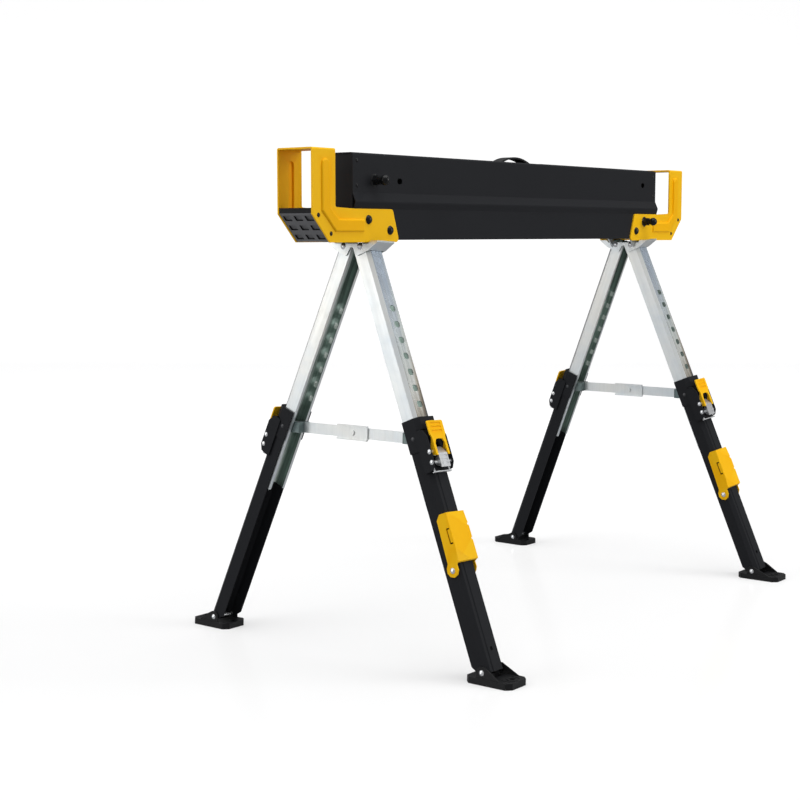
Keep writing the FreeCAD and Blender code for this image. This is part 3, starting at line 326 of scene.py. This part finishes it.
def painted_slot_reflection(g, across, out, drop):
    """Painted reflection: one in soft pale squares on the inner flanks, one beside each of the upper
    slots, standing for the slots' reflections.
    """
    place = g.math(g.math(g.math(drop, SLOT_FIRST, "SUBTRACT"), SLOT_PITCH, "DIVIDE"), 0.5)
    step = g.math(g.math(g.math(place, 1, "MODULO"), 0.5, "SUBTRACT"), SLOT_PITCH, "MULTIPLY")
    row = g.span(g.size_of(step), 5.8, 3.4)
    column = g.span(g.size_of(g.math(out, 9.2)), 5.4, 3.4)
    upper = g.inside(drop, SLOT_FIRST - 8, SLOT_FIRST + SLOTS_WITH_PAINTED_REFLECTION * SLOT_PITCH)
    return g.both(row, column, upper, g.math(g.size_of(across), 16, "GREATER_THAN"))


def leg_zinc(corner, side, face):
    """An upper leg: near-white flanks, a drawn web banded cool, straw, tan and near black down its
    length, and painted shade inside.
    """
    g = plated(f"zinc_leg_{corner}", *ZINC_TONES, 0.36, 0.7, leg_matrix(side, face))
    across, out, down = g.parts()
    drop = g.math(down, -1, "MULTIPLY")
    streak = g.noise(30, 2, 0.5, g.stretched((2.2, 1, 0.02)))
    wave = g.math(g.math(g.math(streak, 0.5, "SUBTRACT"), 260, "MULTIPLY"), drop)
    web = g.ramp(g.span(wave, 30, 335), WEB_BANDS)
    web = g.blend(g.span(g.drawn, 0.40, 0.62, 0, 0.5), web, LINE_SHADE)
    on_web = g.math(out, WEB_FACE, "GREATER_THAN")
    outside = g.blend(on_web, g.tone, web)

    # Painted shade: the inside of the channel gets a darker zinc colour for the shade that falls there.
    within = g.inside(across, -INSIDE_HALF, INSIDE_HALF)
    fold = g.math(g.math(g.size_of(across), out), INSIDE_FOLD, "LESS_THAN")
    painted_shade_mask = g.both(within, g.inside(out, INSIDE_EDGE, INSIDE_OUT), fold)
    # The painted shade inside, a little lighter along the drawn lines, with painted highlights and
    # painted reflections laid on it below.
    dull = g.blend(g.span(g.drawn, 0.42, 0.66), PAINTED_SHADE_ZINC, scaled(PAINTED_SHADE_ZINC, 1.7))
    # Painted highlight: pale streaks along the inner corner, following the drawn lines.
    corner_highlight_mask = g.both(g.span(out, 2, 8), g.span(g.drawn, 0.35, 0.6))
    dull = g.blend(g.math(corner_highlight_mask, 0.85, "MULTIPLY"), dull, PAINTED_CORNER_HIGHLIGHT)
    # Painted reflection: pale squares beside the upper slots on the inner flanks.
    dull = g.blend(painted_slot_reflection(g, across, out, drop), dull, PAINTED_SLOT_REFLECTION)
    g.join(g.blend(painted_shade_mask, outside, dull), g.shader.inputs["Base Color"])
    g.join(g.math(g.gloss, g.math(on_web, -0.12, "MULTIPLY")), g.shader.inputs["Roughness"])
    return g.material


def yoke_zinc(end, side):
    """A yoke: pale plate outside, painted shade under its roof."""
    g = plated(f"zinc_yoke_{end}", *ZINC_TONES, 0.38, 0.7, end_matrix(side))
    along, across, up = g.parts()
    slope = g.math(g.size_of(across), 0.754, "MULTIPLY")
    over = g.math(g.math(up, slope, "SUBTRACT"), -30.3, "GREATER_THAN")
    # Painted shade under the yoke's roof.
    painted_shade_mask = g.both(g.inside(along, -19.4, 19.4), over, g.math(up, 8.6, "LESS_THAN"))
    g.join(g.blend(painted_shade_mask, g.tone, PAINTED_SHADE_ZINC), g.shader.inputs["Base Color"])
    return g.material


def leg_rivet_finish():
    """Bright rivets, apart from the black ones high on the collars."""
    tones = (0.86, 0.87, 0.88), (0.78, 0.82, 0.86), (0.88, 0.87, 0.84)
    g = plated("leg_rivet", *tones, 0.22, 0.85)
    up = g.parts()[2]
    on_collar = g.math(up, COLLAR_RIVETS_OVER, "GREATER_THAN")
    g.join(g.blend(on_collar, g.tone, BLACK_WORN), g.shader.inputs["Base Color"])
    g.join(g.span(on_collar, 0, 1, 0.85, 0), g.shader.inputs["Metallic"])
    return g.material


def pad_rubber():
    """The end pads: worn grey on the faces along the bevel; black, a painted shade, on every other
    face, the recess walls included.
    """
    g = moulding("pad_rubber", (0.150, 0.152, 0.158), 0.62, 900)
    node = g.add("ShaderNodeSeparateXYZ")
    g.join(g.add("ShaderNodeNewGeometry").outputs["True Normal"], node.inputs["Vector"])
    out = g.math(g.size_of(node.outputs["X"]), 0.727, "MULTIPLY")
    facing = g.math(out, g.math(node.outputs["Z"], 0.687, "MULTIPLY"), "SUBTRACT")
    # Painted shade: black on the faces that do not lie along the bevel, the recess walls among them.
    tone = g.blend(g.span(facing, 0.93, 0.985), (0.006, 0.006, 0.007), g.tone)
    g.join(tone, g.shader.inputs["Base Color"])
    return g.material


RIVET_TONES = ((0.84, 0.85, 0.86), (0.76, 0.80, 0.85), (0.88, 0.86, 0.82))
CASTING_TONES = ((0.72, 0.73, 0.74), (0.66, 0.69, 0.72), (0.76, 0.75, 0.73))
# Painted shade: dark teal zinc tones for the brace clips, standing for the shade they sit in.
PAINTED_SHADE_TONES = ((0.17, 0.22, 0.215), (0.13, 0.18, 0.19), (0.21, 0.24, 0.22))
FINISHES = {
    "black_paint": powder_coat("black_paint", BLACK, BLACK_WORN, 0.34, 0.8, 0.04).material,
    "yellow_paint": powder_coat("yellow_paint", YELLOW, YELLOW_WORN, 0.36, 0.96, 0.07).material,
    "zinc_plate": plated("zinc_plate", *ZINC_TONES, 0.36, 0.7).material,
    "bright_rivet": plated("bright_rivet", *RIVET_TONES, 0.24, 0.85).material,
    "silver_casting": plated("silver_casting", *CASTING_TONES, 0.3, 0.8).material,
    "black_moulding": moulding("black_moulding", (0.0065, 0.0067, 0.0075), 0.40, 1400).material,
}
GLOSSY_BLACK = moulding("glossy_black", (0.006, 0.0063, 0.007), 0.16, 700).material
GLOSSY = ["plunger_collars", "black_rivets", "bracket_bolts", "plunger_knob_left", "plunger_knob_right"]
SPECIAL = {name: GLOSSY_BLACK for name in GLOSSY}
PAINTED_SHADE_PLATE = plated("painted_shade_plate", *PAINTED_SHADE_TONES, 0.34, 0.6).material
PAD_RUBBER = pad_rubber()
LEG_RIVET = leg_rivet_finish()
for end, side in SIDES.items():
    SPECIAL[f"end_pad_{end}"] = PAD_RUBBER
    SPECIAL[f"yoke_{end}"] = yoke_zinc(end, side)
for corner, (side, face) in CORNERS.items():
    SPECIAL[f"upper_leg_{corner}"] = leg_zinc(corner, side, face)
    SPECIAL[f"leg_rivets_{corner}"] = LEG_RIVET


# ---------------------------------------------------------------- the CAD nodes


def rounded(piece, width=EDGE, angle=40):
    """Takes the machined sharpness off a piece's edges."""
    edge = piece.modifiers.new("edges", "BEVEL")
    edge.width = width
    edge.segments = 2
    edge.limit_method = "ANGLE"
    edge.angle_limit = math.radians(angle)
    edge.harden_normals = True


def finish_nodes():
    """Gives each CAD node its finish and softens its edges."""
    slots = {row["node"]: row["material_slot"] for row in frame["record"]["subparts"]}
    for name, node in nodes.items():
        node.data.materials.clear()
        node.data.materials.append(SPECIAL.get(name, FINISHES[slots[name]]))
        rounded(node, FOOT_EDGE if name.startswith("foot_") else EDGE)
        for face in node.data.polygons:
            face.use_smooth = True


finish_nodes()


# ---------------------------------------------------------------- small pieces


def prism(tool, corners, low, high, axis):
    """A flat outline given thickness along an axis (0 is X, 2 is Z)."""
    def spot(pair, level):
        return Vector((level, *pair)) if axis == 0 else Vector((*pair, level))

    first = [tool.verts.new(spot(pair, low) * MM) for pair in corners]
    second = [tool.verts.new(spot(pair, high) * MM) for pair in corners]
    tool.faces.new(first)
    tool.faces.new(second)
    for i in range(len(corners)):
        j = (i + 1) % len(corners)
        tool.faces.new((first[i], first[j], second[j], second[i]))


def turned(tool, profile, place, steps=28):
    """A profile of (radius, height) pairs turned about the Z axis of a frame; radius 0 closes it."""
    rings = []
    for radius, level in profile:
        if radius == 0:
            rings.append([tool.verts.new(place @ Vector((0, 0, level * MM)))])
            continue
        turns = [2 * math.pi * i / steps for i in range(steps)]
        spots = [Vector((radius * math.cos(a), radius * math.sin(a), level)) * MM for a in turns]
        rings.append([tool.verts.new(place @ s) for s in spots])
    for low, high in zip(rings, rings[1:]):
        for i in range(steps):
            j = (i + 1) % steps
            corners = [ring[k % len(ring)] for ring, k in ((low, i), (low, j), (high, j), (high, i))]
            tool.faces.new(list(dict.fromkeys(corners)))


def new_piece(name, tool, place, material, body, smooth=False):
    """Closes a mesh, puts it in its place and makes it ride on a body."""
    bmesh.ops.recalc_face_normals(tool, faces=tool.faces)
    mesh = bpy.data.meshes.new(name)
    tool.transform(place)
    tool.to_mesh(mesh)
    tool.free()
    for face in mesh.polygons:
        face.use_smooth = smooth
    mesh.materials.append(material)
    piece = bpy.data.objects.new(name, mesh)
    bpy.context.scene.collection.objects.link(piece)
    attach(piece, body)
    return piece


RIVET_HEAD = [(0, -0.2), (3.5, 0), (3.4, 0.5), (2.9, 1.1), (2.0, 1.5), (1.0, 1.65), (0, 1.7)]
CHEEK_INNER, CHEEK_OUTER = 10.8, 12.4
SIDEWAYS = Matrix.Rotation(math.pi / 2, 4, "Y")


def brace_saddle(corner, side, face):
    """The bent end clip that holds a brace link to its pivot: two cheeks, a back and rivet heads, the
    clip in painted shade.
    """
    body = f"brace_{corner}"
    place = in_leg(side, face, 0, BRACE_DROP)
    tool = bmesh.new()
    cheek = [(6, -6), (6, 6), (0, 8.5), (-28, 8.5), (-28, -8.5), (0, -8.5)]
    back = [(-29.6, -8.5), (-29.6, 8.5), (-28, 8.5), (-28, -8.5)]
    prism(tool, cheek, CHEEK_INNER, CHEEK_OUTER, 0)
    prism(tool, cheek, -CHEEK_OUTER, -CHEEK_INNER, 0)
    prism(tool, back, -CHEEK_OUTER, CHEEK_OUTER, 0)
    # Painted shade: the clip is given the dark teal zinc tones.
    piece = new_piece(f"brace_saddle_{corner}", tool, place, PAINTED_SHADE_PLATE, body)
    rounded(piece, PLATE_EDGE)
    tool = bmesh.new()
    for sign in (-1, 1):
        for facing, level in ((-1, CHEEK_INNER), (1, CHEEK_OUTER)):
            turn = SIDEWAYS if sign * facing > 0 else SIDEWAYS.inverted()
            turned(tool, RIVET_HEAD, Matrix.Translation((sign * level * MM, 0, 0)) @ turn)
    finish = FINISHES["bright_rivet"]
    new_piece(f"saddle_rivets_{corner}", tool, place, finish, body, smooth=True)


def latch_flange(corner, side, face):
    """The bright flange that shows under a latch, with its two small tabs."""
    tool = bmesh.new()
    low, high = -365.4, -363.4
    plate = [(-21, 15.95), (21, 15.95), (21, 20), (18, 22.2), (-18, 22.2), (-21, 20)]
    prism(tool, plate, low, high, 2)
    tab = [(17.0, high), (17.0, high + 4.8), (18.6, high + 5.8), (19.4, high)]
    for middle in (-18.6, 18.6):
        prism(tool, tab, middle - 1.6, middle + 1.6, 0)
    body, finish = f"lower_leg_{corner}", FINISHES["silver_casting"]
    name = f"latch_flange_{corner}"
    piece = new_piece(name, tool, leg_matrix(side, face), finish, body)
    rounded(piece, PLATE_EDGE)


def foot_ring(corner, side, face):
    """The raised ring round the outer screw hole of a foot, and two ribs beside it."""
    tool = bmesh.new()
    sunk = -0.6
    ring = [(5.3, sunk), (5.3, 1.0), (5.8, 1.5), (7.4, 1.5), (8.1, 0.9), (8.3, sunk), (5.3, sunk)]
    turned(tool, ring, Matrix())
    for sign in (-1, 1):
        rib = [(sign * 12, -9), (sign * 13.4, -9), (sign * 13.4, 5), (sign * 12, 5)]
        prism(tool, rib if sign > 0 else rib[::-1], sunk, 0.9, 2)
    bmesh.ops.remove_doubles(tool, verts=tool.verts, dist=WELD / 10)
    hole, top = 37 * MM, (9.5 - 16.5 / math.cos(LEAN)) * MM
    tilt = Matrix.Rotation(side * face * LEAN, 4, "Y")
    place = in_leg(side, face, FOOT_OUT, FOOT_DROP) @ Matrix.Translation((0, hole, top)) @ tilt
    body, finish = f"foot_{corner}", FINISHES["black_moulding"]
    piece = new_piece(f"foot_ring_{corner}", tool, place, finish, body)
    rounded(piece, RING_EDGE)


# The two creases of a support arm's front plate: start, stop, and the corner that each cuts off.
CREASES = [
    ((8.1, -432.6), (-14.2, -446.5), (-23.5, -426.3)),
    ((25.6, -478.5), (-1.9, -497.2), (23.5, -500)),
]
PLATE_BACK = 15.5 * MM
PRESSED_OUT = 2.4 * MM


def creased_arm(end, side):
    """A support arm whose front plate is pressed out between two slanted creases."""
    node = nodes[f"support_arm_{end}"]
    leg = leg_matrix(side, -1)
    tool = bmesh.new()
    tool.from_mesh(node.data)
    tool.transform(leg.inverted())
    bmesh.ops.remove_doubles(tool, verts=tool.verts, dist=WELD)
    creases = []
    for crease in CREASES:
        start, stop, tip = [Vector((x, 0, z)) * MM for x, z in crease]
        normal = (stop - start).cross(Vector((0, 1, 0))).normalized()
        reach = (tip - start).dot(normal)
        creases.append((start, normal if reach > 0 else -normal, abs(reach)))
    for start, normal, _ in creases:
        shape = tool.verts[:] + tool.edges[:] + tool.faces[:]
        bmesh.ops.bisect_plane(tool, geom=shape, dist=WELD, plane_co=start, plane_no=normal)
    for vertex in tool.verts:
        if vertex.co.y > PLATE_BACK:
            fall = max((vertex.co - start).dot(normal) / reach for start, normal, reach in creases)
            vertex.co.y += PRESSED_OUT * (1 - min(1.0, max(0.0, fall)))
    finish = FINISHES["yellow_paint"]
    body = node_body[f"support_arm_{end}"]
    piece = new_piece(f"creased_arm_{end}", tool, leg, finish, body)
    rounded(piece, EDGE, 35)
    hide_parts(f"support_arm_{end}")


for corner, (side, face) in CORNERS.items():
    brace_saddle(corner, side, face)
    latch_flange(corner, side, face)
    foot_ring(corner, side, face)
for end, side in SIDES.items():
    creased_arm(end, side)


# ---------------------------------------------------------------- stage


def stage_floor():
    """A white sweep: level under the sawhorse and curved up far behind it, darker to bounced light."""
    mesh = bpy.data.meshes.new("floor")
    tool = bmesh.new()
    wide, near, far, tall, bend, steps = 9.0, -6.0, 5.0, 5.0, 2.0, 16
    profile = [(near, 0.0), (far, 0.0)]
    for i in range(1, steps + 1):
        turn = math.pi / 2 * i / steps
        profile.append((far + bend * math.sin(turn), bend * (1 - math.cos(turn))))
    profile.append((far + bend, tall))
    rows = [[tool.verts.new((x, y, z)) for x in (-wide, wide)] for y, z in profile]
    for (a, b), (d, c) in zip(rows, rows[1:]):
        tool.faces.new((a, b, c, d)).smooth = True
    tool.to_mesh(mesh)
    tool.free()
    floor = bpy.data.objects.new("floor", mesh)
    bpy.context.scene.collection.objects.link(floor)
    floor.rotation_euler = (0, 0, math.radians(CAMERA_YAW - 90))
    g = Graph("floor")
    seen = g.add("ShaderNodeLightPath").outputs["Is Camera Ray"]
    cloud = g.ramp(g.noise(1.5, 3, 0.5), [(0.3, (0.60, 0.60, 0.602)), (0.7, (0.62, 0.62, 0.62))])
    g.join(g.blend(seen, (0.34, 0.34, 0.35), cloud), g.shader.inputs["Base Color"])
    # Painted light: to the camera the floor glows, more strongly further back.
    away = g.span(g.parts()[1], -500, 2500, 0.40, 0.74)
    g.join(g.math(seen, away, "MULTIPLY"), g.shader.inputs["Emission Strength"])
    g.shader.inputs["Emission Color"].default_value = (1, 1, 1, 1)
    g.shader.inputs["Roughness"].default_value = 0.14
    g.shader.inputs["Specular IOR Level"].default_value = 0.2
    mesh.materials.append(g.material)


def area_light(name, place, size, power):
    """A soft box aimed at the middle of the sawhorse."""
    lamp = bpy.data.lights.new(name, "AREA")
    lamp.shape = "RECTANGLE"
    lamp.size, lamp.size_y = size
    lamp.energy = power
    light = bpy.data.objects.new(name, lamp)
    bpy.context.scene.collection.objects.link(light)
    light.location = place
    light.rotation_euler = (Vector((0, 0, 0.4)) - Vector(place)).to_track_quat("-Z", "Y").to_euler()


def stage_lights():
    """Soft boxes overhead, at the left and at the right front, in a studio that is dimmer below."""
    area_light("top_light", (-0.4, -0.4, 3.2), (3.0, 2.4), 50)
    area_light("left_light", (-3.0, 1.6, 1.5), (2.4, 2.6), 36)
    area_light("right_light", (1.5, -3.3, 1.5), (1.8, 2.4), 52)
    world = bpy.data.worlds.new("studio")
    bpy.context.scene.world = world
    world.use_nodes = True
    tree = world.node_tree
    view = tree.nodes.new("ShaderNodeTexCoord")
    split = tree.nodes.new("ShaderNodeSeparateXYZ")
    fade = tree.nodes.new("ShaderNodeMapRange")
    for key, value in zip(RANGE_INPUTS, (-0.3, 0.7, 0.12, 0.62)):
        fade.inputs[key].default_value = value
    tree.links.new(view.outputs["Generated"], split.inputs["Vector"])
    tree.links.new(split.outputs["Z"], fade.inputs["Value"])
    ray = tree.nodes.new("ShaderNodeLightPath")
    seen = tree.nodes.new("ShaderNodeMix")
    tree.links.new(ray.outputs["Is Camera Ray"], seen.inputs["Factor"])
    tree.links.new(fade.outputs["Result"], seen.inputs["A"])
    seen.inputs["B"].default_value = 1.0
    tree.links.new(seen.outputs["Result"], tree.nodes["Background"].inputs["Strength"])
    tree.nodes["Background"].inputs["Color"].default_value = (1.0, 1.0, 1.0, 1)


def stage_camera():
    """The camera, where it sees the sawhorse from the left front."""
    camera_data = bpy.data.cameras.new("camera")
    camera_data.lens = CAMERA_LENS
    camera_data.sensor_width = 36
    camera_data.clip_end = 60
    camera = bpy.data.objects.new("camera", camera_data)
    bpy.context.scene.collection.objects.link(camera)
    camera.location = CAMERA_PLACE
    camera.rotation_euler = (math.radians(90 - CAMERA_DIP), 0, math.radians(CAMERA_YAW - 90))
    bpy.context.scene.camera = camera


bpy.context.scene.view_settings.view_transform = "Standard"
stage_floor()
stage_lights()
stage_camera()
